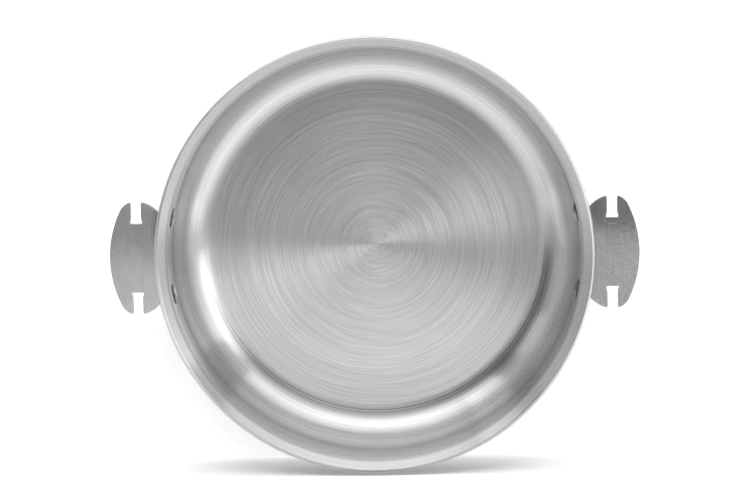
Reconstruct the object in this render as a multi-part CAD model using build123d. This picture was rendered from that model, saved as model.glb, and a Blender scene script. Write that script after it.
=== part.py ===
from build123d import *
from math import asin, cos, degrees, radians, sin, sqrt
import os

# Pan body, in millimetres. The pan stands on its base at z = 0, with its axis on Z.
inside_diameter = 240.0
inside_depth = 56.0
corner_radius = 24.0
rim_diameter = 254.3

# The rim flares out from the wall through a bend, then runs straight to a rounded edge. The
# edge stands out by its crown, so that the pan is 254.8 mm across in all.
flare_angle = 50.0
flare_bend_radius = 5.0
rim_edge_crown = 1.1

# The sheet is two steel skins on an aluminium core.
inner_skin_thickness = 0.5
core_thickness = 1.7
outer_skin_thickness = 0.5

# Ear brackets: an ear lies flat under the rim, and a flange hugs the wall below it.
bracket_thickness = 3.0
ear_depth_below_rim = 5.3
bracket_bend_radius = 2.0
flange_half_width = 27.0
flange_depth_below_rim = 22.5
flange_corner_radius = 6.0

# The ear's outline, seen from above: the distance from the pan's axis, and half its length.
ear_reach = 153.6
ear_outer_arc_radius = 63.2
ear_shoulder_half_length = 27.5
ear_tip_from_axis = 138.2
ear_half_length = 33.2
ear_root_from_axis = 125.0

# A slot at each end of the ear takes the handle's clip. It widens at its closed end.
slot_from_axis = 137.8
slot_width = 5.8
slot_end_from_middle = 20.2
slot_wide_end_width = 7.1
slot_wide_end_length = 2.6
slot_corner_radius = 0.8

# Rivets: one domed head inside the pan, one formed head on the flange.
rivet_half_spacing = 22.5
rivet_depth_below_rim = 14.5
rivet_shank_radius = 2.5
inside_head_radius = 6.0
inside_head_height = 2.2
inside_head_edge = 0.35
formed_head_radius = 4.2
formed_head_height = 1.8
formed_head_edge = 0.4

# Sizes that follow from those above.
sheet_thickness = inner_skin_thickness + core_thickness + outer_skin_thickness
inside_radius = inside_diameter / 2
outside_radius = inside_radius + sheet_thickness
rim_radius = rim_diameter / 2
floor_radius = inside_radius - corner_radius
rim_height = inside_depth + sheet_thickness
corner_height = sheet_thickness + corner_radius

flare_out = sin(radians(flare_angle))
flare_up = cos(radians(flare_angle))
rim_inner_edge_radius = rim_radius - sheet_thickness * flare_up
flare_bend_width = flare_bend_radius * (1 - flare_up)
flare_length = (rim_inner_edge_radius - inside_radius - flare_bend_width) / flare_out
flare_height = flare_bend_radius * flare_out + flare_length * flare_up
flare_start_height = rim_height - flare_height

flange_outer_radius = outside_radius + bracket_thickness
bend_centre_from_axis = flange_outer_radius + bracket_bend_radius
ear_top_height = rim_height - ear_depth_below_rim
ear_bottom_height = ear_top_height - bracket_thickness
bend_centre_height = ear_bottom_height - bracket_bend_radius
flange_bottom_height = rim_height - flange_depth_below_rim
rivet_height = rim_height - rivet_depth_below_rim
rivet_turn = degrees(asin(rivet_half_spacing / inside_radius))


def point(radius, height):
    """A point of a section, by its distance from the pan's axis and its height."""
    return (radius, 0, height)


def on_arc(centre, radius, angle):
    """A point of a section on an arc, at an angle in degrees from outwards, turning upwards."""
    along = radius * cos(radians(angle))
    up = radius * sin(radians(angle))
    return point(centre[0] + along, centre[2] + up)


def rim_edge_point(offset):
    """The rim's rounded edge where it crosses the sheet, at an offset from the inside face."""
    half = sheet_thickness / 2
    crown_radius = (half**2 + rim_edge_crown**2) / (2 * rim_edge_crown)
    bulge = sqrt(crown_radius**2 - (offset - half) ** 2) - (crown_radius - rim_edge_crown)
    radius = rim_inner_edge_radius + offset * flare_up + bulge * flare_out
    height = rim_height - offset * flare_out + bulge * flare_up
    return point(radius, height)


def sheet_line(offset):
    """The section line of the sheet, from the axis to the rim, at an offset from the inside face."""
    corner = point(floor_radius, corner_height)
    bend = point(inside_radius + flare_bend_radius, flare_start_height)
    corner_arc = corner_radius + offset
    bend_arc = flare_bend_radius - offset
    floor_end = on_arc(corner, corner_arc, -90)
    wall_bottom = on_arc(corner, corner_arc, 0)
    wall_top = on_arc(bend, bend_arc, 180)
    flare_start = on_arc(bend, bend_arc, 180 - flare_angle)
    return [
        Line(point(0, sheet_thickness - offset), floor_end),
        ThreePointArc(floor_end, on_arc(corner, corner_arc, -45), wall_bottom),
        Line(wall_bottom, wall_top),
        ThreePointArc(wall_top, on_arc(bend, bend_arc, 180 - flare_angle / 2), flare_start),
        Line(flare_start, rim_edge_point(offset)),
    ]


def ply(inside_offset, thickness):
    """One layer of the sheet, turned about the pan's axis, with its four rivet holes."""
    outside_offset = inside_offset + thickness
    middle = inside_offset + thickness / 2
    edges = sheet_line(inside_offset) + sheet_line(outside_offset)
    inside_edge = rim_edge_point(inside_offset)
    outside_edge = rim_edge_point(outside_offset)
    edges.append(ThreePointArc(inside_edge, rim_edge_point(middle), outside_edge))
    centre_top = point(0, sheet_thickness - inside_offset)
    centre_bottom = point(0, sheet_thickness - outside_offset)
    edges.append(Line(centre_top, centre_bottom))
    shell = revolve(make_face(edges), Axis.Z)
    return shell - rivet_holes()


def rivet_place(side, end):
    """The place of a rivet: side is 1 right or -1 left, end is 1 rear or -1 front."""
    turn = rivet_turn * end * side
    if side < 0:
        turn += 180
    return Rot(0, 0, turn) * Pos(0, 0, rivet_height)


def rivet_holes():
    """The four holes that the rivets fill, as one group of cylinders through wall and flange."""
    length = 4 * bracket_thickness
    start = inside_radius - bracket_thickness
    hole = Pos(start + length / 2, 0, 0) * Rot(0, 90, 0) * Cylinder(rivet_shank_radius, length)
    return [rivet_place(side, end) * hole for side in (1, -1) for end in (1, -1)]


def domed_head(base, radius, edge, height, direction):
    """A head on the X axis with a straight edge and a domed top, pointing along direction."""
    rise = height - edge
    dome_radius = (radius**2 + rise**2) / (2 * rise)
    half_angle = asin(radius / dome_radius) / 2
    sunk = base - direction * edge
    shoulder = base + direction * edge
    top = base + direction * height
    middle = (top - direction * dome_radius * (1 - cos(half_angle)), 0, dome_radius * sin(half_angle))
    edges = [
        Line((sunk, 0, 0), (sunk, 0, radius)),
        Line((sunk, 0, radius), (shoulder, 0, radius)),
        ThreePointArc((shoulder, 0, radius), middle, (top, 0, 0)),
        Line((top, 0, 0), (sunk, 0, 0)),
    ]
    return revolve(make_face(edges), Axis.X)


def rivet(side, end):
    """A rivet: shank through wall and flange, with heads that sit on their curved faces."""
    grip_middle = (inside_radius + flange_outer_radius) / 2
    grip = flange_outer_radius - inside_radius
    shank = Pos(grip_middle, 0, 0) * Rot(0, 90, 0) * Cylinder(rivet_shank_radius, grip + 2 * formed_head_edge)
    inside = domed_head(inside_radius, inside_head_radius, inside_head_edge, inside_head_height, -1)
    formed = domed_head(flange_outer_radius, formed_head_radius, formed_head_edge, formed_head_height, 1)
    ring_height = 4 * inside_head_radius
    ring = Cylinder(flange_outer_radius, ring_height) - Cylinder(inside_radius, ring_height)
    return rivet_place(side, end) * (inside - ring + (formed - ring) + shank)


def bracket_section():
    """The bracket's bent sheet in section: the ear, the bend and the flange."""
    bend = point(bend_centre_from_axis, bend_centre_height)
    tight = bracket_bend_radius
    wide = bracket_bend_radius + bracket_thickness
    far = ear_reach + bracket_thickness
    edges = [
        Line(point(far, ear_top_height), on_arc(bend, wide, 90)),
        ThreePointArc(on_arc(bend, wide, 90), on_arc(bend, wide, 135), on_arc(bend, wide, 180)),
        Line(on_arc(bend, wide, 180), point(outside_radius, flange_bottom_height)),
        Line(point(outside_radius, flange_bottom_height), point(flange_outer_radius, flange_bottom_height)),
        Line(point(flange_outer_radius, flange_bottom_height), on_arc(bend, tight, 180)),
        ThreePointArc(on_arc(bend, tight, 180), on_arc(bend, tight, 135), on_arc(bend, tight, 90)),
        Line(on_arc(bend, tight, 90), point(far, ear_bottom_height)),
        Line(point(far, ear_bottom_height), point(far, ear_top_height)),
    ]
    return make_face(edges)


def ear_outline():
    """The bracket's outline from above: a long outer arc, tight round tips, and a straight root."""
    arc_centre = ear_reach - ear_outer_arc_radius
    shoulder_y = ear_shoulder_half_length
    shoulder_x = arc_centre + sqrt(ear_outer_arc_radius**2 - shoulder_y**2)
    root_x = ear_root_from_axis
    inner_x = outside_radius * 0.85
    edges = [ThreePointArc((shoulder_x, -shoulder_y), (ear_reach, 0), (shoulder_x, shoulder_y))]
    for end in (1, -1):
        shoulder = (shoulder_x, end * shoulder_y)
        tip = (ear_tip_from_axis, end * ear_half_length)
        root = (root_x, end * flange_half_width)
        along = (-shoulder_y, end * (shoulder_x - arc_centre))
        edges.append(TangentArc(shoulder, tip, tangent=along))
        edges.append(TangentArc(tip, root, tangent=(-1, 0)))
        edges.append(Line(root, (inner_x, end * flange_half_width)))
    edges.append(Line((inner_x, flange_half_width), (inner_x, -flange_half_width)))
    return make_face(edges)


def slot_outline(end):
    """An open slot at one end of the ear, wider at its closed end and rounded in its corners."""
    mouth = ear_half_length + slot_width
    neck_length = mouth - slot_end_from_middle - slot_wide_end_length / 2
    neck_middle = mouth - neck_length / 2
    wide_middle = slot_end_from_middle + slot_wide_end_length / 2
    neck = Pos(slot_from_axis, end * neck_middle) * Rectangle(slot_width, neck_length)
    wide = RectangleRounded(slot_wide_end_width, slot_wide_end_length, slot_corner_radius)
    return neck + Pos(slot_from_axis, end * wide_middle) * wide


def flange_outline():
    """The bracket from the side: the flange's width, with its two lower corners rounded."""
    top = rim_height + bracket_thickness
    width = 2 * (ear_half_length + bracket_thickness)
    upper = Pos(0, (top + ear_bottom_height) / 2) * Rectangle(width, top - ear_bottom_height)
    height = top - flange_bottom_height
    flange = Pos(0, flange_bottom_height + height / 2) * Rectangle(2 * flange_half_width, height)
    lower_corners = flange.vertices().sort_by(Axis.Y)[:2]
    return upper + fillet(lower_corners, flange_corner_radius)


def ear_bracket(side):
    """A bracket: the bent section turned about the pan's axis, then cut to its outlines."""
    sweep = degrees(asin(ear_half_length / outside_radius)) + 10
    bent = Rot(0, 0, -sweep) * revolve(bracket_section(), Axis.Z, revolution_arc=2 * sweep)
    plan = ear_outline() - slot_outline(1) - slot_outline(-1)
    seen_from_above = extrude(plan, rim_height)
    from_side = Plane((0, 0, 0), x_dir=(0, 1, 0), z_dir=(1, 0, 0)) * flange_outline()
    seen_from_side = extrude(from_side, ear_reach + bracket_thickness)
    cut = bent & seen_from_above & seen_from_side
    if side < 0:
        cut = Rot(0, 0, 180) * cut
    return cut - rivet_holes()


parts = {
    "inner_skin": ply(0, inner_skin_thickness),
    "aluminium_core": ply(inner_skin_thickness, core_thickness),
    "outer_skin": ply(inner_skin_thickness + core_thickness, outer_skin_thickness),
    "left_ear_bracket": ear_bracket(-1),
    "right_ear_bracket": ear_bracket(1),
}
for side_name, side in (("left", -1), ("right", 1)):
    for end_name, end in (("front", -1), ("rear", 1)):
        parts[f"{side_name}_{end_name}_rivet"] = rivet(side, end)

os.makedirs("parts", exist_ok=True)
for name, shape in parts.items():
    export_step(shape, f"parts/{name}.step")
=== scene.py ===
from math import asin, cos, pi, radians, sin

import bpy
import numpy as np
from mathutils import Matrix, Vector


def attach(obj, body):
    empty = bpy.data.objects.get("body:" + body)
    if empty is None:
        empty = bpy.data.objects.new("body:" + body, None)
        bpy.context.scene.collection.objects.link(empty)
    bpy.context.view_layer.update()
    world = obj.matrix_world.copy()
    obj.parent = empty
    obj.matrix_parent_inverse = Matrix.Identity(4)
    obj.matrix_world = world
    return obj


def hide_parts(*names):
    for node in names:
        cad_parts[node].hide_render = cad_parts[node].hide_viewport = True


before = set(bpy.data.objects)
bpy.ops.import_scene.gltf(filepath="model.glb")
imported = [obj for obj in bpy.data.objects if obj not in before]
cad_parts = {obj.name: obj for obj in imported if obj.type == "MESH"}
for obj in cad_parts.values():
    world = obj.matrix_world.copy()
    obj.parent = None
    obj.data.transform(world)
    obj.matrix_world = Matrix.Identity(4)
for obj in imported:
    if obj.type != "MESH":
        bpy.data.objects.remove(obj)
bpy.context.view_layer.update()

# Sizes of the pan in metres, as its construction has them. Its axis is Z and it stands on z = 0.
inside_radius = 0.120
inside_depth = 0.056
corner_radius = 0.024
rim_radius = 0.12715
flare_angle = radians(50)
flare_bend_radius = 0.005
rim_edge_crown = 0.00109
inner_skin_thickness = 0.0005
core_thickness = 0.0017
outer_skin_thickness = 0.0005
bracket_thickness = 0.003

# The ear brackets, seen from above and in section, as their construction has them.
ear_depth_below_rim = 0.0053
bracket_bend_radius = 0.002
flange_half_width = 0.027
flange_depth_below_rim = 0.0225
flange_corner_radius = 0.006
ear_reach = 0.1536
ear_outer_arc_radius = 0.0632
ear_shoulder_half_length = 0.0275
ear_tip_from_axis = 0.1382
ear_half_length = 0.0332
ear_root_from_axis = 0.125
slot_from_axis = 0.1378
slot_width = 0.0058
slot_end_from_middle = 0.0202
slot_wide_end_width = 0.0071
slot_flare_length = 0.0034
slot_corner_ease = 0.0007
slot_mouth_ease = 0.0014

rivet_half_spacing = 0.0225
rivet_depth_below_rim = 0.0145
rivet_shank_radius = 0.0025
inside_head_radius = 0.006
inside_head_height = 0.0022
inside_head_edge = 0.00035
formed_head_radius = 0.0042
formed_head_height = 0.0018
formed_head_edge = 0.0004

sheet_thickness = inner_skin_thickness + core_thickness + outer_skin_thickness
rim_height = inside_depth + sheet_thickness
floor_radius = inside_radius - corner_radius
corner_height = sheet_thickness + corner_radius
flare_out = sin(flare_angle)
flare_up = cos(flare_angle)
rim_inner_edge_radius = rim_radius - sheet_thickness * flare_up
flare_bend_width = flare_bend_radius * (1 - flare_up)
flare_length = (rim_inner_edge_radius - inside_radius - flare_bend_width) / flare_out
flare_start_height = rim_height - flare_bend_radius * flare_out - flare_length * flare_up
rivet_height = rim_height - rivet_depth_below_rim
outside_radius = inside_radius + sheet_thickness
flange_outer_radius = outside_radius + bracket_thickness
ear_top_height = rim_height - ear_depth_below_rim
bend_wide_radius = bracket_bend_radius + bracket_thickness
bend_centre_from_axis = outside_radius + bend_wide_radius
bend_centre_height = ear_top_height - bend_wide_radius
flange_length = bend_centre_height - (rim_height - flange_depth_below_rim)
bend_length = (bracket_bend_radius + bracket_thickness / 2) * pi / 2

# How far the edges are eased, and how far a bracket's flat margin reaches, in shares of that.
skin_edge_ease = 0.0002
bracket_edge_ease = 0.0003
bracket_margin = 1.6

# How finely the pieces are divided, and the angle, in degrees, past which a rivet's edge stays sharp.
turns_of_pan = 400
turns_of_rivet = 64
rivet_sharp_angle = 50
floor_steps = 26
corner_steps = 40
wall_steps = 14
flare_bend_steps = 16
flare_steps = 6
crown_points = 9
dome_points = 15
ease_steps = 4
ear_outer_steps = 40
ear_tip_steps = 24
ear_root_steps = 30
slot_side_points = 15
slot_end_steps = 8
slot_ease_steps = 8
bracket_bend_points = 11
flange_side_steps = 4
flange_corner_steps = 14
flange_half_steps = 12
bracket_edge_points = 5

# Points closer than these, in metres, count as one.
same_point = 1e-9
shortest_edge = 1e-7
root_gap = 1e-5

# Colours of the metals, and of the painted shade in their finishes.
floor_steel_colour = (0.650, 0.650, 0.654)
wall_steel_colour = (0.640, 0.639, 0.635)
bracket_colour = (0.60, 0.60, 0.605)
rivet_colour = (0.44, 0.435, 0.425)
core_colour = (0.80, 0.80, 0.80)
# Painted shade in the band round the floor's edge.
floor_edge_shade_colour = (0.20, 0.20, 0.202, 1)
# Painted shade in the grooves past the corner's start.
groove_shade_colour = (0.22, 0.22, 0.222, 1)
# Painted shade on the right ear's rear end.
rear_end_shade_colour = (0.20, 0.20, 0.205, 1)
# Painted shade where each rivet head meets the sheet.
head_contact_shade_colour = (0.10, 0.098, 0.094, 1)

# Marks in the finishes, in metres. A groove has a place past the corner's start, a half width and a
# share of the full depth. Marks on the skins and rivets lie at lengths along the section. A pair is
# where a mark begins to change and where the change is complete.
grooves_past_corner = ((0.0043, 0.0005, 1.0), (0.0061, 0.0005, 1.0), (0.0074, 0.0004, 0.5))
wall_finish_start = floor_radius - 0.007
wall_finish_full = floor_radius + 0.005
flare_finish_start = 0.156
flare_finish_full = 0.161
# Where the band of painted shade round the floor's edge begins and ends.
shade_band_start = (0.074, 0.082)
shade_band_end = (0.094, 0.100)
# Where the painted shade round the rivet heads begins and ends along the section.
inside_head_shade_start = (0.0046, 0.0060)
formed_head_shade_end = (0.0182, 0.0196)
crossing_centre = (0.003, -0.002)
grooves_deepest_towards = (0.21, -0.98, 0)
# How far the patchy painted shade round each slot's closed end reaches.
slot_end_shade_reach = (0.0030, 0.0042)
worn_arc_radius = 0.0038
worn_arc_half_width = 0.0004
# A faint line of painted shade along a crease that the bending die left.
crease_from_axis = 0.1348
crease_shade_half_width = 0.0003
left_ear_slope = 0.007
right_ear_slope = 0.010


# Shapes.

def straight(start, end, steps):
    """Points on a straight line, closer together near its ends: the share along it is
    (1 - cos(pi s)) / 2."""
    share = (1 - np.cos(np.pi * np.linspace(0, 1, steps + 1))) / 2
    return np.outer(1 - share, start) + np.outer(share, end)


def arc(centre, radius, start, end, steps):
    """Points on an arc: the centre plus the radius times (cos a, sin a), with a in degrees."""
    angle = np.radians(np.linspace(start, end, steps + 1))
    return np.array(centre) + radius * np.stack([np.cos(angle), np.sin(angle)], 1)


def eased(start, corner, end, steps):
    """Points on the curve (1-s)^2 start + 2 s (1-s) corner + s^2 end, which rounds a corner off."""
    s = np.linspace(0, 1, steps + 1)[:, None]
    return (1 - s) ** 2 * np.array(start) + 2 * s * (1 - s) * np.array(corner) + s**2 * np.array(end)


def joined(*stretches):
    """One line from several that follow each other, without the points that they share."""
    points = np.concatenate(stretches)
    apart = np.linalg.norm(np.diff(points, axis=0), axis=1) > same_point
    return points[np.concatenate([[True], apart])]


def rim_edge(offset):
    """Where the rim's rounded edge crosses the sheet, at an offset from the inside face."""
    half = sheet_thickness / 2
    crown_radius = (half**2 + rim_edge_crown**2) / (2 * rim_edge_crown)
    offset = np.asarray(offset, float)
    bulge = np.sqrt(crown_radius**2 - (offset - half) ** 2) - (crown_radius - rim_edge_crown)
    radius = rim_inner_edge_radius + offset * flare_up + bulge * flare_out
    height = rim_height - offset * flare_out + bulge * flare_up
    return np.stack([radius, height], -1)


def sheet_line(offset, stop_short=0.0):
    """The sheet's section line from the axis to the rim, as (radius, height), at an offset from the
    inside face: floor, corner arc, wall, bend arc and flare. It can stop short of the rim's edge."""
    corner = (floor_radius, corner_height)
    bend = (inside_radius + flare_bend_radius, flare_start_height)
    floor_height = sheet_thickness - offset
    corner_arc = arc(corner, corner_radius + offset, -90, 0, corner_steps)
    bend_arc = arc(bend, flare_bend_radius - offset, 180, 180 - np.degrees(flare_angle), flare_bend_steps)
    along_flare = np.array([flare_out, flare_up])
    flare_end = rim_edge(offset) - stop_short * along_flare
    return joined(
        straight((0, floor_height), corner_arc[0], floor_steps),
        corner_arc,
        straight(corner_arc[-1], bend_arc[0], wall_steps),
        bend_arc,
        straight(bend_arc[-1], flare_end, flare_steps),
    )


def ply_section(inside_offset, thickness, ease_inside=0.0, ease_outside=0.0):
    """A layer's whole section: out along its inside face, over the rim and back along its outside
    face. Its two edges at the rim can be eased."""
    outside_offset = inside_offset + thickness
    going_out = sheet_line(inside_offset, ease_inside)
    coming_back = sheet_line(outside_offset, ease_outside)[::-1]
    across_edge = np.linspace(inside_offset + ease_inside, outside_offset - ease_outside, crown_points)
    crown = rim_edge(across_edge)
    first = eased(going_out[-1], rim_edge(inside_offset), crown[0], ease_steps)
    last = eased(crown[-1], rim_edge(outside_offset), coming_back[0], ease_steps)
    return joined(going_out, first, crown, last, coming_back)


def rivet_section():
    """A rivet's section on its own axis, as (radius, distance from the pan's axis): the inside dome,
    its edge, the shank and the formed dome. A dome is an arc through its edge and its top."""

    def dome(base, radius, edge, height, direction):
        rise = height - edge
        dome_radius = (radius**2 + rise**2) / (2 * rise)
        share = np.linspace(0, 1, dome_points)
        out = dome_radius * np.sin(share * asin(radius / dome_radius))
        drop = dome_radius - np.sqrt(dome_radius**2 - out**2)
        return np.stack([out, base + direction * (height - drop)], 1)

    inside = dome(inside_radius, inside_head_radius, inside_head_edge, inside_head_height, -1)
    formed = dome(flange_outer_radius, formed_head_radius, formed_head_edge, formed_head_height, 1)
    inside_back = (inside_head_radius, inside_radius)
    formed_back = (formed_head_radius, flange_outer_radius)
    inside_ease = eased(inside[-2], inside[-1], inside_back, ease_steps)
    formed_ease = eased(formed_back, formed[-1], formed[-2], ease_steps)
    shank = [(rivet_shank_radius, inside_radius), (rivet_shank_radius, flange_outer_radius)]
    return joined(inside[:-1], inside_ease, shank, formed_ease, formed[:-1][::-1])


def turned(section, turns):
    """Points, faces and map of a surface turned about Z. The section runs from the axis back to it,
    as (radius, height); each point turns to (r cos a, r sin a, height). On the map, U is the length
    along the section in metres and V is the turn, from 0 to 1."""
    along = np.concatenate([[0], np.cumsum(np.linalg.norm(np.diff(section, axis=0), axis=1))])
    angle = 2 * np.pi * np.arange(turns) / turns
    rings = section[1:-1]
    radius, height = rings[:, :1], rings[:, 1:]
    x, y = radius * np.cos(angle), radius * np.sin(angle)
    z = np.broadcast_to(height, x.shape)
    ends = [[0, 0, section[0][1]], [0, 0, section[-1][1]]]
    points = np.concatenate([np.stack([x, y, z], -1).reshape(-1, 3), ends])

    ring, turn = np.meshgrid(np.arange(len(rings) - 1), np.arange(turns), indexing="ij")
    after = (turn + 1) % turns
    here, below = ring * turns, (ring + 1) * turns
    quads = np.stack([here + turn, below + turn, below + after, here + after], -1).reshape(-1, 4)
    turn, ring = turn.reshape(-1), ring.reshape(-1)
    quad_u = along[np.stack([ring + 1, ring + 2, ring + 2, ring + 1], -1)]
    quad_v = np.stack([turn, turn, turn + 1, turn + 1], -1) / turns

    turn = np.arange(turns)
    after = (turn + 1) % turns
    last = (len(rings) - 1) * turns
    start = np.full(turns, len(points) - 2)
    end = np.full(turns, len(points) - 1)
    first_fan = np.stack([start, turn, after], -1)
    last_fan = np.stack([end, last + after, last + turn], -1)
    first_u = np.broadcast_to([along[0], along[1], along[1]], (turns, 3))
    first_v = np.stack([turn + 0.5, turn, turn + 1], -1) / turns
    last_u = np.broadcast_to([along[-1], along[-2], along[-2]], (turns, 3))
    last_v = np.stack([turn + 0.5, turn + 1, turn], -1) / turns

    faces = [quads, first_fan, last_fan]
    u = np.concatenate([quad_u.ravel(), first_u.ravel(), last_u.ravel()])
    v = np.concatenate([quad_v.ravel(), first_v.ravel(), last_v.ravel()])
    return points, faces, np.stack([u, v], -1)


def trimmed(points, length):
    """A line without its last stretch of that length."""
    along = np.concatenate([[0], np.cumsum(np.linalg.norm(np.diff(points, axis=0), axis=1))])
    stop = along[-1] - length
    end = [np.interp(stop, along, points[:, i]) for i in (0, 1)]
    return np.concatenate([points[along < stop - shortest_edge], [end]])


def with_eased_corner(first, second, size):
    """Two lines that meet in a corner, as one line whose corner is eased over that size."""
    before = trimmed(first, size)
    after = trimmed(second[::-1], size)[::-1]
    return joined(before, eased(before[-1], first[-1], after[0], slot_ease_steps), after)


def arc_through(start, heading, end, steps):
    """Points on the arc that leaves start along a heading and reaches end."""
    start, end = np.array(start), np.array(end)
    heading = np.array(heading) / np.hypot(*heading)
    aside = np.array([-heading[1], heading[0]])
    chord = end - start
    bend = 2 * (chord @ aside) / (chord @ chord)
    turn = 2 * np.arctan2(chord @ aside, chord @ heading)
    angle = np.linspace(0, turn, steps + 1)[:, None]
    return start + (np.sin(angle) * heading + (1 - np.cos(angle)) * aside) / bend


def cut_at(points, value):
    """The stretches of a line before and after its first coordinate falls to a value."""
    later = int(np.argmax(points[:, 0] < value))
    share = (value - points[later - 1, 0]) / (points[later, 0] - points[later - 1, 0])
    meet = points[later - 1] + share * (points[later] - points[later - 1])
    return np.concatenate([points[:later], [meet]]), np.concatenate([[meet], points[later:]])


def ear_half_outline():
    """Half of the ear's edge from above, from its outermost point round the tip and in and out of the
    slot to the root, as (distance, along): arcs, and a slot whose sides flare towards its closed end
    as s^2 (3 - 2 s)."""
    arc_centre = ear_reach - ear_outer_arc_radius
    shoulder = asin(ear_shoulder_half_length / ear_outer_arc_radius)
    outer = arc((arc_centre, 0), ear_outer_arc_radius, 0, np.degrees(shoulder), ear_outer_steps)
    tip = (ear_tip_from_axis, ear_half_length)
    to_tip = arc_through(outer[-1], (-sin(shoulder), cos(shoulder)), tip, ear_tip_steps)
    to_root = arc_through(tip, (-1, 0), (ear_root_from_axis, flange_half_width), ear_root_steps)
    before_slot, rest = cut_at(joined(outer, to_tip, to_root), slot_from_axis + slot_width / 2)
    _, after_slot = cut_at(rest, slot_from_axis - slot_width / 2)

    closed = slot_end_from_middle
    s = np.linspace(1, 0, slot_side_points)
    spread = (slot_wide_end_width - slot_width) / 2 * (1 - s) ** 2 * (1 + 2 * s)
    flare = np.stack([slot_width / 2 + spread, closed + s * slot_flare_length], 1)
    down = joined([(slot_width / 2, before_slot[-1, 1])], flare) + [slot_from_axis, 0]
    up = (joined([(slot_width / 2, after_slot[0, 1])], flare) * [-1, 1] + [slot_from_axis, 0])[::-1]
    across = straight(down[-1], up[0], slot_end_steps)
    into = with_eased_corner(before_slot, down, slot_mouth_ease)
    round_end = with_eased_corner(with_eased_corner(into, across, slot_corner_ease), up, slot_corner_ease)
    return with_eased_corner(round_end, after_slot, slot_mouth_ease)


def bent(along, across, depth):
    """A point of the bracket's blank when it is bent to shape. along runs from the bend's upper end,
    out over the ear if it is positive, and down round the bend and the flange if it is negative;
    depth goes down from the ear's top. The section turns about the pan's axis, so x is the square
    root of (distance^2 - across^2)."""
    radius = bend_wide_radius - depth
    angle = np.clip(-along / bend_length, 0, 1) * np.pi / 2
    out = bend_centre_from_axis + np.maximum(along, 0) - radius * np.sin(angle)
    height = bend_centre_height + radius * np.cos(angle) + np.minimum(along + bend_length, 0)
    return np.stack([np.sqrt(out**2 - across**2), across, height], -1)


def blank_outline():
    """Half of the bracket's blank from the ear's outermost point to the middle of the flange's lower
    edge, as (along, across) of bent(), in three stretches: the ear, one side, and the lower edge."""
    ear = ear_half_outline()
    ear[:, 0] = np.hypot(ear[:, 0], ear[:, 1]) - bend_centre_from_axis
    ear = ear[ear[:, 0] > root_gap]
    low = -bend_length - flange_length
    down_bend = -np.linspace(0, bend_length, bracket_bend_points)
    bend = np.stack([down_bend, np.full(bracket_bend_points, flange_half_width)], 1)
    corner_centre = (low + flange_corner_radius, flange_half_width - flange_corner_radius)
    corner = arc(corner_centre, flange_corner_radius, 90, 180, flange_corner_steps)
    side = joined(bend, straight(bend[-1], corner[0], flange_side_steps), corner)
    return ear, side, straight(side[-1], (low, 0), flange_half_steps)[1:]


def edge_profile():
    """The bracket's rounded edge, as how far it lies inside the outline and how deep below the top:
    a flat margin, a quarter turn, and the same again below."""
    quarter = np.radians(np.linspace(0, 90, bracket_edge_points))
    inset = np.concatenate([[bracket_margin], 1 - np.sin(quarter)]) * bracket_edge_ease
    depth = np.concatenate([[0.0], 1 - np.cos(quarter)]) * bracket_edge_ease
    return np.concatenate([inset, inset[::-1]]), np.concatenate([depth, bracket_thickness - depth[::-1]])


def bracket_shape():
    """Points, faces and map of a bracket. Its rounded edge is a profile carried round the outline of
    the blank. Inside that edge the ear is one flat face, and the bend and flange are a grid of rows.
    On the map, U is distance minus height and V runs along the ear."""
    ear, side, lower = blank_outline()
    half = np.concatenate([ear, side, lower])
    loop = np.concatenate([half, half[1:-1][::-1] * [1, -1]])
    step = np.roll(loop, -1, 0) - loop
    step /= np.linalg.norm(step, axis=1)[:, None]
    heading = step + np.roll(step, 1, 0)
    heading /= np.maximum((heading**2).sum(1), 1)[:, None] / 2
    inward = np.stack([-heading[:, 1], heading[:, 0]], 1)

    inset, depth = edge_profile()
    edge = loop[:, None] + inward[:, None] * inset[:, None]
    round_it = np.concatenate([[0], np.cumsum(np.hypot(np.diff(inset), np.diff(depth)))])
    round_it = np.clip(round_it, round_it[1], round_it[-2]) - round_it[1]
    number = np.arange(edge[..., 0].size).reshape(edge.shape[:2])
    after = np.roll(number, -1, 0)
    points = [bent(edge[..., 0], edge[..., 1], depth).reshape(-1, 3)]
    shift = [np.tile(round_it, len(loop))]
    faces = [np.stack([number[:, :-1], number[:, 1:], after[:, 1:], after[:, :-1]], -1).reshape(-1, 4)]

    top_row = len(ear)
    end_row = top_row + len(side) - 1
    down_side = np.arange(top_row, end_row + 1)
    over_lower_edge = np.arange(end_row, len(loop) - end_row + 1)
    over_ear = np.arange(-top_row, top_row + 1)
    for level in (0, len(depth) - 1):
        share = edge[over_lower_edge, level, 1] / edge[end_row, level, 1]
        along = np.broadcast_to(edge[down_side, level, 0][:, None], (len(down_side), len(share)))
        across = np.outer(edge[down_side, level, 1], share)
        inner = bent(along, across, depth[level])[:-1, 1:-1]
        grid = np.empty(along.shape, int)
        grid[:, 0] = number[down_side, level]
        grid[:, -1] = number[-down_side, level]
        grid[-1] = number[over_lower_edge, level]
        grid[:-1, 1:-1] = sum(map(len, points)) + np.arange(inner[..., 0].size).reshape(inner.shape[:2])
        quads = np.stack([grid[:-1, :-1], grid[1:, :-1], grid[1:, 1:], grid[:-1, 1:]], -1).reshape(-1, 4)
        ear_face = np.concatenate([number[over_ear, level], grid[0, 1:-1]])[None]
        turn_over = 1 if level == 0 else -1
        faces += [quads[:, ::turn_over], ear_face[:, ::turn_over]]
        points.append(inner.reshape(-1, 3))
        shift.append(np.full(inner[..., 0].size, round_it[level]))

    points, shift = np.concatenate(points), np.concatenate(shift)
    spot = np.stack([points[:, 0] - points[:, 2], points[:, 1] + shift], 1)
    return points, faces, np.concatenate([spot[face.ravel()] for face in faces])


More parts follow.
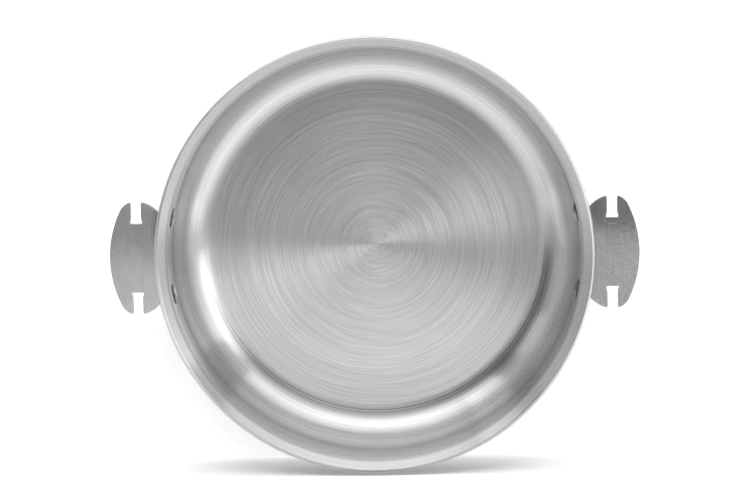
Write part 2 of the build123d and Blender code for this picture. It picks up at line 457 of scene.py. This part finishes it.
def piece(name, points, faces, places, sharp_angle=40):
    """A smooth-shaded object from arrays. faces is a list of arrays, each with faces of one size, and
    places gives each face corner's place on the map named Brushing."""
    mesh = bpy.data.meshes.new(name)
    corners = np.concatenate([f.ravel() for f in faces]).astype(np.int32)
    sizes = np.concatenate([np.full(len(f), f.shape[1]) for f in faces])
    starts = np.concatenate([[0], np.cumsum(sizes)[:-1]]).astype(np.int32)
    mesh.vertices.add(len(points))
    mesh.vertices.foreach_set("co", points.astype(np.float32).ravel())
    mesh.loops.add(len(corners))
    mesh.loops.foreach_set("vertex_index", corners)
    mesh.polygons.add(len(sizes))
    mesh.polygons.foreach_set("loop_start", starts)
    mesh.update(calc_edges=True)
    layer = mesh.uv_layers.new(name="Brushing")
    layer.uv.foreach_set("vector", places.astype(np.float32).ravel())
    mesh.polygons.foreach_set("use_smooth", np.ones(len(sizes), bool))
    mesh.set_sharp_from_angle(angle=radians(sharp_angle))
    mesh.validate()
    made = bpy.data.objects.new(name, mesh)
    bpy.context.scene.collection.objects.link(made)
    return made


# Finishes.

class Number:
    """A shader socket that is a number. Sums and products of it add Math nodes."""

    def __init__(self, finish, socket):
        self.finish = finish
        self.socket = socket

    def _with(self, operation, first, second=0.0, third=0.0):
        return self.finish.node("ShaderNodeMath", {"operation": operation}, {0: first, 1: second, 2: third})

    def __add__(self, other):
        return self._with("ADD", self, other)

    def __radd__(self, other):
        return self._with("ADD", other, self)

    def __sub__(self, other):
        return self._with("SUBTRACT", self, other)

    def __rsub__(self, other):
        return self._with("SUBTRACT", other, self)

    def __mul__(self, other):
        return self._with("MULTIPLY", self, other)

    def __rmul__(self, other):
        return self._with("MULTIPLY", other, self)

    def __abs__(self):
        return self._with("ABSOLUTE", self)


class Finish:
    """A material, or the world, and the nodes that make it."""

    def __init__(self, owner):
        owner.use_nodes = True
        self.owner = owner
        self.tree = owner.node_tree
        self.tree.nodes.clear()

    def node(self, kind, settings=None, inputs=None, output=0):
        """Adds a node of a type. Its settings come first, then the values or links of its sockets, by
        name or place. The answer is one output, by name or place."""
        made = self.tree.nodes.new(kind)
        for name, value in (settings or {}).items():
            setattr(made, name, value)
        for name, value in (inputs or {}).items():
            if isinstance(value, Number):
                self.tree.links.new(value.socket, made.inputs[name])
            else:
                made.inputs[name].default_value = value
        if not made.outputs:
            return None
        return Number(self, made.outputs[output])

    def parts(self, vector):
        """A vector's three numbers."""
        return [self.node("ShaderNodeSeparateXYZ", {}, {0: vector}, place) for place in range(3)]

    def together(self, x, y, z):
        return self.node("ShaderNodeCombineXYZ", {}, {0: x, 1: y, 2: z})

    def vector(self, operation, first, second=(0, 0, 0), output=0):
        return self.node("ShaderNodeVectorMath", {"operation": operation}, {0: first, 1: second}, output)

    def scaled(self, vector, amount):
        return self.node("ShaderNodeVectorMath", {"operation": "SCALE"}, {0: vector, "Scale": amount})

    def noise(self, place, scale, detail=2.0, roughness=0.5):
        return self.node(
            "ShaderNodeTexNoise",
            {"noise_dimensions": "3D"},
            {"Vector": place, "Scale": scale, "Detail": detail, "Roughness": roughness},
        )

    def ranged(self, value, low, high, to_low=0.0, to_high=1.0, kind="LINEAR"):
        return self.node(
            "ShaderNodeMapRange",
            {"interpolation_type": kind},
            {"Value": value, "From Min": low, "From Max": high, "To Min": to_low, "To Max": to_high},
        )

    def step(self, value, low, high, to_low=0.0, to_high=1.0):
        """Goes smoothly from one value to another while a number passes from low to high."""
        return self.ranged(value, low, high, to_low, to_high, "SMOOTHSTEP")

    def line(self, value, middle, half_width):
        """1 where a number is at the middle of a line, and 0 past its half width."""
        return self.step(abs(value - middle), 0.0, half_width, 1.0, 0.0)

    def mixed(self, share, first, second):
        return self.node(
            "ShaderNodeMix", {"data_type": "RGBA"}, {"Factor": share, 6: first, 7: second}, output=2
        )

    def glow(self, strength):
        """White light of a strength."""
        return self.node("ShaderNodeEmission", {}, {"Color": (1, 1, 1, 1), "Strength": strength})

    def shaded(self, share, colour, change):
        """A colour that goes from darker to lighter by that share of itself."""
        dark, light = (tuple(c * k for c in colour) + (1,) for k in (1 - change, 1 + change))
        return self.mixed(share, dark, light)

    def bumped(self, height):
        """The surface's direction under a relief whose height is in metres."""
        return self.node("ShaderNodeBump", {}, {"Strength": 1.0, "Distance": 1.0, "Height": height})

    def metal(self, colour, roughness, normal, anisotropy=0.0):
        """Closes the material as bare metal. Its gloss spreads across the brushing, along U of the map."""
        inputs = {"Base Color": colour, "Metallic": 1.0, "Roughness": roughness, "Normal": normal}
        if anisotropy:
            across_brushing = {"direction_type": "UV_MAP", "uv_map": "Brushing"}
            inputs["Anisotropic"] = anisotropy
            inputs["Tangent"] = self.node("ShaderNodeTangent", across_brushing)
        self.close(self.node("ShaderNodeBsdfPrincipled", {}, inputs))
        return self.owner

    def close(self, shader):
        self.node("ShaderNodeOutputMaterial", {}, {"Surface": shader})


class TurnedFinish(Finish):
    """A finish with lines that run round the pan's axis, on a piece with a Brushing map."""

    def __init__(self, name):
        super().__init__(bpy.data.materials.new(name))
        self.place = self.node("ShaderNodeTexCoord", output="Object")
        self.across = self.parts(self.node("ShaderNodeUVMap", {"uv_map": "Brushing"}))[0]
        self.heading = self.vector("NORMALIZE", self.vector("MULTIPLY", self.place, (1, 1, 0)))

    def rings(self, per_metre, round_turn, detail=2.0, seed=0.0, across=None):
        """Noise in rings, with so many to the metre across them, whose pieces are short round the turn
        where that number is high."""
        across = self.across if across is None else across
        turned_place = self.scaled(self.heading, round_turn)
        spot = self.vector("ADD", turned_place, self.together(0.0, seed, across * per_metre))
        return self.noise(spot, 1.0, detail, 0.6)

    def off_centre(self, x, y):
        """The distance from a point beside the axis, for arcs that cross the rings at a low angle."""
        return self.vector("LENGTH", self.vector("SUBTRACT", self.place, (x, y, 0)), output="Value")


def scratches(f, place, size, seed, half_width):
    """Short curved hairlines: the contours of a soft noise, kept only where another noise is high."""
    soft = f.noise(f.vector("ADD", place, (seed, 2 * seed, 0)), size, 0.0)
    kept = f.noise(f.vector("ADD", place, (0, seed, seed)), size * 2.3, 0.0)
    return f.line(soft, 0.5, half_width) * f.step(kept, 0.60, 0.64)


def cooking_steel():
    """The cooking surface: rings, and arcs that cross them at a low angle, with painted shade in a slightly
    darker band round the floor's edge. Three deeper lines just past the corner's start fade out at the
    rear; their dark colour is painted shade."""
    f = TurnedFinish("cooking_steel")
    fine = f.rings(1700, 1.0, 3.0, 3.0)
    strokes = f.rings(1500, 1.2, 2.0, 23.0)
    crossing = f.rings(1300, 1.8, 2.0, 31.0, f.off_centre(*crossing_centre))
    broad = f.rings(210, 0.5, 3.0, 11.0)
    speckle = f.noise(f.place, 1500.0, 2.0, 0.7)
    hairlines = scratches(f, f.place, 22.0, 4.0, 0.004)
    on_wall = f.step(f.across, wall_finish_start, wall_finish_full)
    on_flare = f.step(f.across, flare_finish_start, flare_finish_full)
    # Painted shade in a band round the floor's edge, next to the wall.
    floor_edge_shade = f.step(f.across, *shade_band_start) * f.step(f.across, *shade_band_end, 1.0, 0.0)
    to_front = f.vector("DOT_PRODUCT", f.heading, grooves_deepest_towards, output="Value")
    shaded_grooves = sum(
        f.line(f.across, floor_radius + place, half_width) * depth
        for place, half_width, depth in grooves_past_corner
    )
    shaded_grooves = shaded_grooves * f.step(to_front, 0.05, 0.40, 0.08, 1.0)

    waves = broad * 4e-6 + strokes * 3.5e-6 + crossing * 3.5e-6 + fine * 5e-6 + speckle * 3e-6
    waves = waves * (1 - on_flare * 0.6)
    normal = f.bumped(waves - shaded_grooves * 12e-6 - hairlines * 0.8e-6)
    tone = fine * 0.30 + strokes * 0.22 + crossing * 0.18 + broad * 0.05 + speckle * 0.25
    share = f.ranged(tone * (1 - on_flare * 0.5) + on_flare * 0.25, 0.36, 0.64)
    floor_steel = f.shaded(share, floor_steel_colour, 0.23)
    wall_steel = f.shaded(share, wall_steel_colour, 0.17)
    base = f.mixed(on_wall, floor_steel, wall_steel)
    base = f.mixed(floor_edge_shade * 0.12, base, floor_edge_shade_colour)
    # The grooves' dark colour is painted shade; their relief is in the bump.
    base = f.mixed(shaded_grooves * 0.55, base, groove_shade_colour)
    rough = f.ranged(strokes * 0.5 + broad * 0.5, 0.3, 0.7, 0.18, 0.22) + on_flare * 0.08
    return f.metal(base, rough, normal, 1.0)


def outer_steel():
    """The outside: even satin lines round the wall, and rings on the base."""
    f = TurnedFinish("outer_steel")
    fine = f.rings(2200, 1.2, 4.0, 5.0)
    strokes = f.rings(900, 4.0, 2.0, 13.0)
    broad = f.rings(160, 0.8, 2.0, 17.0)
    normal = f.bumped(fine * 1.6e-6 + strokes * 1.2e-6 + broad * 5e-6)
    base = f.shaded(f.ranged(fine * 0.6 + strokes * 0.4, 0.34, 0.66), wall_steel_colour, 0.05)
    rough = f.ranged(strokes * 0.6 + broad * 0.4, 0.3, 0.7, 0.24, 0.32)
    return f.metal(base, rough, normal, 0.9)


def core_aluminium():
    """The core's edge, trimmed in fine lines."""
    f = TurnedFinish("core_aluminium")
    fine = f.rings(6000, 1.2, 2.0, 7.0)
    base = f.shaded(f.ranged(fine, 0.3, 0.7), core_colour, 0.06)
    rough = f.ranged(fine, 0.3, 0.7, 0.30, 0.42)
    return f.metal(base, rough, f.bumped(fine * 1.5e-6), 0.6)


def bracket_steel():
    """The brackets: straight fine brushing along the ear, with a grain that breaks it up, a faint line
    of painted shade along a crease that the bending die left, and a worn arc round each slot's closed
    end, with patchy painted shade just round that end. Painted shade darkens the right ear's rear end.
    Each ear's relief slopes by about half a degree."""
    f = Finish(bpy.data.materials.new("bracket_steel"))
    place = f.node("ShaderNodeTexCoord", output="Object")
    x, y, _ = f.parts(place)
    out, aside = abs(x), abs(y)
    on_right = f.step(x, -0.01, 0.01)
    across, along, _ = f.parts(f.node("ShaderNodeUVMap", {"uv_map": "Brushing"}))
    fine = f.noise(f.together(across * 1900, along * 50, 3.0), 1.0, 3.0, 0.6)
    grain = f.noise(place, 1300.0, 3.0, 0.7)
    patches = f.noise(place, 160.0, 2.0)
    slot_end_to_here = f.together(out - slot_from_axis, aside - slot_end_from_middle, 0.0)
    from_slot_end = f.vector("LENGTH", slot_end_to_here, output="Value")
    short_of_slot = f.step(aside, slot_end_from_middle, slot_end_from_middle + 0.001, 1.0, 0.0)
    worn = f.step(patches, 0.42, 0.58)
    worn_arc = f.line(from_slot_end, worn_arc_radius, worn_arc_half_width) * short_of_slot * worn
    # Patchy painted shade just round each slot's closed end.
    slot_end_shade = f.step(from_slot_end, *slot_end_shade_reach, 1.0, 0.0) * short_of_slot
    # A faint line of painted shade along the die's crease.
    crease_shade = f.line(out, crease_from_axis, crease_shade_half_width)
    slope = y * (left_ear_slope + on_right * (right_ear_slope - left_ear_slope))
    normal = f.bumped(fine * 3e-6 + grain * 4e-6 + patches * 6e-6 + slope - worn_arc * 8e-6)
    share = f.ranged(fine * 0.35 + grain * 0.55 + patches * 0.10, 0.36, 0.64)
    share = share + worn_arc * 0.45 - slot_end_shade * worn * 0.25 - crease_shade * 0.3
    # Painted shade that darkens the right ear towards its rear end.
    rear_end_shade = f.step(y + patches * 0.006, 0.010, 0.024) * on_right
    base = f.mixed(rear_end_shade * 0.5, f.shaded(share, bracket_colour, 0.14), rear_end_shade_colour)
    rough = f.ranged(grain, 0.3, 0.7, 0.14, 0.20)
    return f.metal(base, rough, normal, 1.0)


def rivet_steel():
    """The rivets: domes polished bright, with a little grain, a few hairlines, and a dark line of painted
    shade where each head meets the sheet."""
    f = Finish(bpy.data.materials.new("rivet_steel"))
    place = f.node("ShaderNodeTexCoord", output="Object")
    along = f.parts(f.node("ShaderNodeUVMap", {"uv_map": "Brushing"}))[0]
    grain = f.noise(place, 450.0, 3.0)
    hairlines = scratches(f, place, 300.0, 5.0, 0.01)
    polished = f.shaded(f.ranged(grain, 0.3, 0.7), rivet_colour, 0.08)
    # Painted shade where each head meets the sheet.
    head_contact_shade = f.step(along, *inside_head_shade_start) * f.step(along, *formed_head_shade_end, 1.0, 0.0)
    base = f.mixed(head_contact_shade, polished, head_contact_shade_colour)
    rough = f.ranged(grain + hairlines, 0.3, 1.2, 0.07, 0.20)
    return f.metal(base, rough, f.bumped(grain * 160e-6 - hairlines * 1.5e-6))


makers = (cooking_steel, outer_steel, core_aluminium, bracket_steel, rivet_steel)
finishes = {make.__name__: make() for make in makers}


# Pieces.

def finished(made, node, slot_name):
    """Gives a piece its finish and its place: it rides with the pan and stands for a node."""
    made.data.materials.append(finishes[slot_name])
    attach(made, "root")
    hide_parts(node)
    return made


def ply(name, node, inside_offset, thickness, ease_inside, ease_outside, slot_name):
    """A layer of the sheet, turned about the pan's axis."""
    section = ply_section(inside_offset, thickness, ease_inside, ease_outside)
    return finished(piece(name, *turned(section, turns_of_pan)), node, slot_name)


core_offset = inner_skin_thickness
outer_offset = core_offset + core_thickness
ply("cooking_surface", "inner_skin", 0.0, inner_skin_thickness, skin_edge_ease, 0.0, "cooking_steel")
ply("heat_spreading_core", "aluminium_core", core_offset, core_thickness, 0.0, 0.0, "core_aluminium")
ply("outside_skin", "outer_skin", outer_offset, outer_skin_thickness, 0.0, skin_edge_ease, "outer_steel")


def rivet(side_name, end_name, side, end):
    """A turned rivet, laid on its side and turned about the pan's axis to its place."""
    points, faces, places = turned(rivet_section(), turns_of_rivet)
    x, y, z = points.T
    turn = asin(rivet_half_spacing / inside_radius) * end * side + (pi if side < 0 else 0)
    out = z * cos(turn) - y * sin(turn)
    aside = z * sin(turn) + y * cos(turn)
    placed = np.stack([out, aside, rivet_height - x], 1)
    made = piece(f"{side_name}_{end_name}_domed_rivet", placed, faces, places, rivet_sharp_angle)
    return finished(made, f"{side_name}_{end_name}_rivet", "rivet_steel")


def bracket(side_name, side):
    """An ear bracket; the left one is the right one turned half round."""
    points, faces, places = bracket_shape()
    made = piece(f"{side_name}_slotted_ear", points * [side, side, 1], faces, places)
    return finished(made, f"{side_name}_ear_bracket", "bracket_steel")


for side_name, side in (("left", -1), ("right", 1)):
    for end_name, end in (("front", -1), ("rear", 1)):
        rivet(side_name, end_name, side, end)
    bracket(side_name, side)


# Stage.

matt_white = (0.8, 0.8, 0.8, 1)
floor_half_side = 6.0
gap_under_base = 0.0002
floor_glow = 0.66
floor_glow_in_gloss = 0.15
table_reach = 1.2
table_top = 0.95
table_front = -0.1295
table_glow = 0.14
rear_lamp_strength = 1.5
rear_lamp_tilt = radians(-60)
rear_lamp_spread = radians(50)
room_light = 0.08


def floor():
    """A white floor just under the base that keeps the pan's soft shadow. To the camera it glows, so
    that it renders white, and it glows faintly in the pan's gloss."""
    square = np.array([[-1, -1, 0], [1, -1, 0], [1, 1, 0], [-1, 1, 0]])
    points = square * floor_half_side - [0, 0, gap_under_base]
    made = piece("floor", points, [np.array([[0, 1, 2, 3]])], np.zeros((4, 2)))
    f = Finish(bpy.data.materials.new("floor_white"))
    camera_ray = f.node("ShaderNodeLightPath", output="Is Camera Ray")
    glossy_ray = f.node("ShaderNodeLightPath", output="Is Glossy Ray")
    matt = f.node("ShaderNodeBsdfDiffuse", {}, {"Color": matt_white})
    glow = f.glow(camera_ray * floor_glow + glossy_ray * floor_glow_in_gloss)
    f.close(f.node("ShaderNodeAddShader", {}, {0: matt, 1: glow}))
    made.data.materials.append(f.owner)


def white_table():
    """A white table top that stands on edge and touches the front of the rim, so that the pan is seen
    as if it stood on its rim. It keeps a soft shadow between the floor and the rim's height, which
    painted light lifts next to the floor and at the rim's height. Above that it also shines in the
    pan's gloss, brightest in its middle, by strengths from the same fit as the soft boxes. From behind
    it can't be seen."""
    left, right, front, bottom, top = -table_reach, table_reach, table_front, -gap_under_base, table_top
    points = np.array(
        [[left, front, bottom], [left, front, top], [right, front, top], [right, front, bottom]]
    )
    made = piece("white_table", points, [np.array([[0, 1, 2, 3]])], np.zeros((4, 2)))
    made.visible_diffuse = False
    made.visible_shadow = False
    f = Finish(bpy.data.materials.new("table_white"))
    x, _, z = f.parts(f.node("ShaderNodeTexCoord", output="Object"))

    # Painted light that lifts the table's shadow next to the floor and at the rim's height.
    painted_light_by_floor = f.step(z, 0.0, 0.05, 0.31, 0.0) + f.step(z, 0.0, 0.014, 0.15, 0.0)
    painted_light_by_rim = f.step(z, 0.054, 0.061, 0.0, 0.40)
    matt = f.node("ShaderNodeBsdfDiffuse", {}, {"Color": matt_white})
    seen = f.node("ShaderNodeAddShader", {}, {0: matt, 1: f.glow(table_glow + painted_light_by_floor + painted_light_by_rim)})

    middle = f.step(abs(x - 0.1), 0.0, 0.5, 1.0, 0.0) * f.step(abs(z - 0.33), 0.0, 0.30, 1.0, 0.0)
    far_left = f.step(x, -0.3, -0.2) * f.step(x, -0.05, 0.05, 1.0, 0.0) * f.step(z, 0.4, 0.5)
    right_end = f.step(x, 0.2, 0.3) * f.step(z, 0.10, 0.14)
    left_end = f.step(x, -0.3, -0.2, 1.0, 0.0) * f.step(z, 0.10, 0.14) * f.step(z, 0.4, 0.5, 1.0, 0.0)
    near = f.step(abs(x), 0.3, 0.4, 1.0, 0.0) * f.step(z, 0.2, 0.3, 1.0, 0.0)
    shine = 0.44 + middle * 1.16 + far_left * 0.50 + right_end * 0.40 + left_end * 0.43 + near * 0.25
    clear = f.node("ShaderNodeBsdfTransparent")
    above_rim = f.step(z, 0.0615, 0.062)
    in_gloss = f.node("ShaderNodeMixShader", {}, {0: above_rim, 1: clear, 2: f.glow(shine)})

    camera_ray = f.node("ShaderNodeLightPath", output="Is Camera Ray")
    behind = f.node("ShaderNodeNewGeometry", output="Backfacing")
    from_front = f.node("ShaderNodeMixShader", {}, {0: camera_ray, 1: in_gloss, 2: seen})
    f.close(f.node("ShaderNodeMixShader", {}, {0: behind, 1: from_front, 2: clear}))
    made.data.materials.append(f.owner)


def rear_lamp():
    """A broad lamp at the rear that falls on the floor and the table and doesn't show in the pan."""
    data = bpy.data.lights.new("rear_lamp", "SUN")
    data.energy = rear_lamp_strength
    data.angle = rear_lamp_spread
    made = bpy.data.objects.new("rear_lamp", data)
    made.rotation_euler = (rear_lamp_tilt, 0, 0)
    made.visible_glossy = False
    bpy.context.scene.collection.objects.link(made)


class Studio(Finish):
    """The world's light, by azimuth from +X towards +Y and by tilt from straight up."""

    def __init__(self, name):
        super().__init__(bpy.data.worlds.new(name))
        x, y, z = self.parts(self.node("ShaderNodeTexCoord", output="Generated"))
        self.azimuth = self.node("ShaderNodeMath", {"operation": "ARCTAN2"}, {0: y, 1: x})
        self.tilt = self.node("ShaderNodeMath", {"operation": "ARCCOSINE"}, {0: z})

    def soft_box(self, strength, middle, half_width, side_edge, top, top_edge, bottom=200, bottom_edge=5):
        """A box of light, in degrees, whose edges are soft by those half widths. Without a bottom it
        goes on down past the floor."""
        from_middle = self.azimuth - radians(middle)
        turn = self.node("ShaderNodeMath", {"operation": "WRAP"}, {0: from_middle, 1: pi, 2: -pi})
        inner, outer = radians(half_width - side_edge), radians(half_width + side_edge)
        level = self.step(abs(turn), inner, outer, strength, 0.0)
        level = level * self.step(self.tilt, radians(top - top_edge), radians(top + top_edge))
        lower, lowest = radians(bottom - bottom_edge), radians(bottom + bottom_edge)
        return level * self.step(self.tilt, lower, lowest, 1.0, 0.0)


def studio():
    """A dim room with large soft boxes on the right and at the rear, and smaller ones on the left and
    overhead. The camera sees plain white. The boxes' numbers were fitted to the picture's tones by a
    separate program, and five boxes were then changed by hand."""
    w = Studio("studio")
    bpy.context.scene.world = w.owner
    right = w.soft_box(0.42, -45.5, 66.4, 1, 22.5, 3.7, 38.1, 1.5)
    right_middle = w.soft_box(0.62, 0.2, 39.5, 1, 30.2, 1.6, 44.7, 1.7)
    right_low = w.soft_box(0.64, -2.5, 26.8, 1.4, 33, 2.2)
    key = w.soft_box(0.98, 9.4, 19.6, 3.2, 19.4, 5.5, 40.5, 1.5)
    key_core = w.soft_box(0.54, 12.4, 17.2, 3, 32.2, 3, 45, 2)
    key_tall = w.soft_box(1.15, -18.6, 19.6, 1, -5, 3, 30.7, 4.2)
    rear = w.soft_box(0.80, 89.5, 49.8, 1, 36.9, 4.7, 71.1, 21.2)
    rear_core = w.soft_box(0.42, 97.7, 31.3, 10.8, 38.9, 3.9, 59.4, 4.3)
    rear_low = w.soft_box(0.48, 68.7, 58, 15.3, 34, 1.5)
    rear_middle = w.soft_box(0.34, 82.6, 39.2, 20.5, -10.2, 25.5, 83.9, 30.7)
    left_rear = w.soft_box(0.37, 158.1, 7.9, 1, 36.8, 1.8, 61.8, 2.2)
    left = w.soft_box(0.53, 157.5, 32.2, 1, 43.9, 1.5)
    overhead = w.soft_box(1.60, -143, 12.9, 1, -16, 9, 12.4, 1.5)
    from_right = right + right_middle + right_low + key + key_core + key_tall
    from_rear = rear + rear_core + rear_low + rear_middle
    light = room_light + from_right + from_rear + left_rear + left + overhead
    camera_ray = w.node("ShaderNodeLightPath", output="Is Camera Ray")
    strength = light * (1 - camera_ray) + camera_ray
    background = w.node("ShaderNodeBackground", {}, {"Color": (1, 1, 1, 1), "Strength": strength})
    w.node("ShaderNodeOutputWorld", {}, {"Surface": background})


# The camera's place in metres, from the middle of the rim, and its lens, for a picture this wide. They
# and its angles were fitted to outlines measured on the picture.
camera_distance = 1.8146
camera_slide = 0.00056
camera_rise = 0.00369
picture_width = 750
focal_length_in_pixels = 3141
sensor_width = 36.0


def camera():
    """The camera over the pan, at the viewing angle of the picture: tilted a little to the rear and
    the right, and turned by one degree."""
    lean, aside, roll = radians(7.74), radians(11.44), radians(1.0)
    back = Vector((sin(lean) * sin(aside), sin(lean) * cos(aside), cos(lean)))
    right = Vector((0, 1, 0)).cross(back).normalized()
    up = back.cross(right)
    turned_right = right * cos(roll) - up * sin(roll)
    turned_up = right * sin(roll) + up * cos(roll)
    rim_middle = Vector((0, 0, rim_height))
    place = rim_middle + back * camera_distance + turned_right * camera_slide + turned_up * camera_rise
    facing = Matrix((turned_right, turned_up, back)).transposed().to_4x4()
    data = bpy.data.cameras.new("camera")
    data.sensor_width = sensor_width
    data.lens = sensor_width * focal_length_in_pixels / picture_width
    made = bpy.data.objects.new("camera", data)
    made.matrix_world = Matrix.Translation(place) @ facing
    bpy.context.scene.collection.objects.link(made)
    bpy.context.scene.camera = made


floor()
white_table()
rear_lamp()
studio()
camera()
bpy.context.scene.view_settings.view_transform = "Standard"
